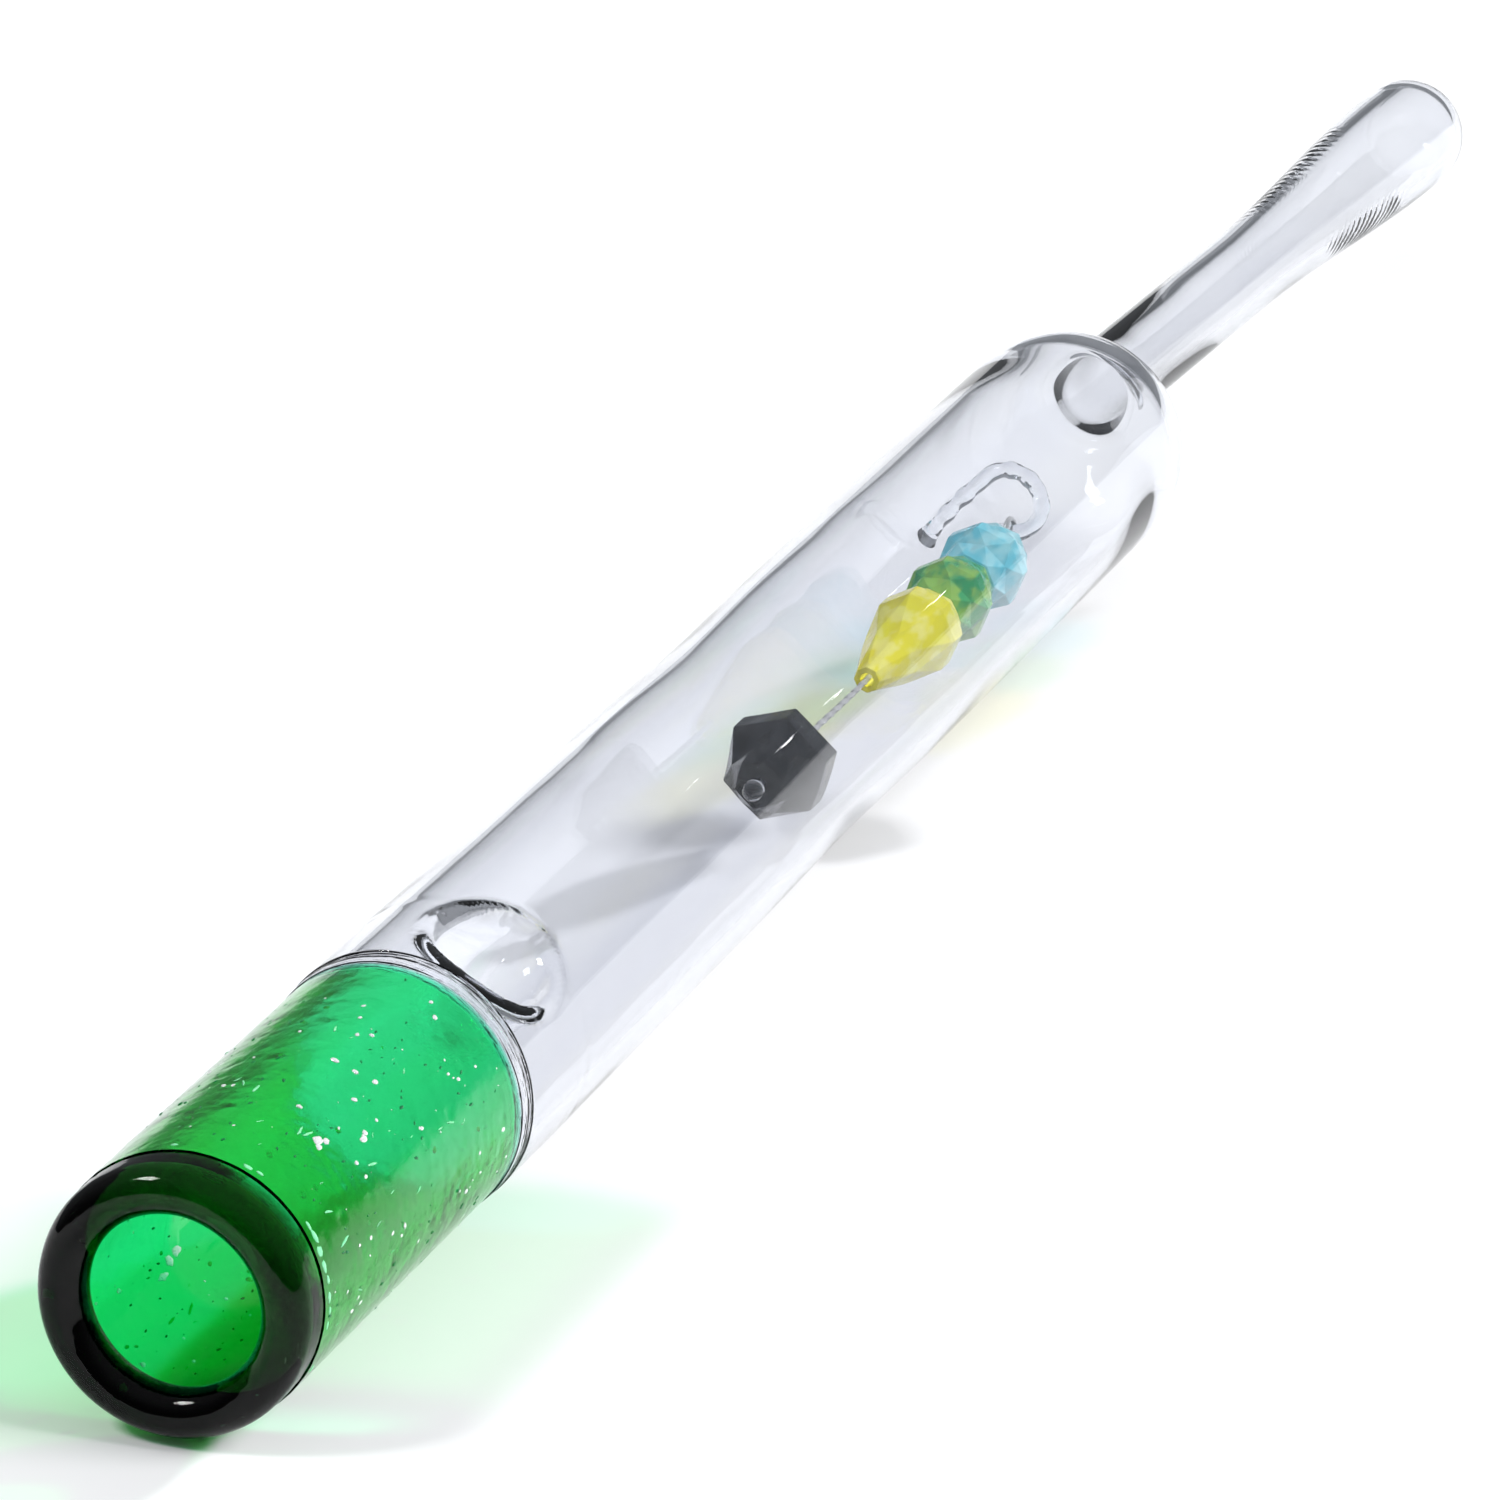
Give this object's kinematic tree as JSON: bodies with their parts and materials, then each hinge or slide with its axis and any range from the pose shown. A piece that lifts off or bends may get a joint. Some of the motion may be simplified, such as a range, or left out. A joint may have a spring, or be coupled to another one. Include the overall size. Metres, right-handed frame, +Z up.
{
  "type": "beaded glass tube",
  "caption": "Blown glass tube with a thick green mouth, a pressed bowl, a closed handle and a wire of faceted beads inside.",
  "frame": {"origin": "centre of the underside of the object's box, on the surface that it lies on", "axes": "+Y along the tube from the open mouth to the handle, +Z up, +X towards the side that the bowl leans to"},
  "size_m": [0.0266, 0.3548, 0.0266],
  "materials": {
    "dark_green_glass": "fire-polished, thick dark green glass",
    "green_glass": "transparent green glass with silver flecks and a finely rough skin",
    "clear_glass": "smooth clear glass",
    "wire": "thin drawn wire",
    "blue_bead": "faceted transparent sky blue",
    "green_bead": "faceted transparent leaf green",
    "yellow_bead": "faceted transparent yellow",
    "black_bead": "faceted smoky black"
  },
  "bodies": {
    "glass": {"lip_ring": "dark_green_glass", "mouth_tube": "green_glass", "weld_collar": "clear_glass", "body_tube": "clear_glass", "bowl": "clear_glass", "shoulder_dome": "clear_glass", "handle": "clear_glass", "glass_hook": "clear_glass"},
    "bead_wire": {"bead_wire": "wire", "stop_ball": "wire"},
    "blue_bead": {"blue_bead": "blue_bead"},
    "green_bead": {"green_bead": "green_bead"},
    "yellow_bead": {"yellow_bead": "yellow_bead"},
    "black_bead": {"black_bead": "black_bead"}
  },
  "joints": [
    {"name": "wire_lift", "type": "hinge", "parent": "glass", "child": "bead_wire", "pos_m": [0, 0.03599, 0.0097], "axis": [-1, 0, 0], "range_deg": [0, 8]},
    {"name": "yellow_slide", "type": "slide", "parent": "bead_wire", "child": "yellow_bead", "axis": [0, -1, 0], "range_m": [0, 0.0184]},
    {"name": "green_slide", "type": "slide", "parent": "bead_wire", "child": "green_bead", "axis": [0, -1, 0], "range_m": [0, 0.0184]},
    {"name": "blue_slide", "type": "slide", "parent": "bead_wire", "child": "blue_bead", "axis": [0, -1, 0], "range_m": [0, 0.0184]},
    {"name": "black_spin", "type": "hinge", "parent": "bead_wire", "child": "black_bead", "pos_m": [0, -0.03071, 0.00855], "axis": [0, 1, 0], "continuous": true}
  ],
  "couplings": [
    {"joint": "green_slide", "follows": "yellow_slide", "ratio": 1},
    {"joint": "blue_slide", "follows": "yellow_slide", "ratio": 1}
  ]
}
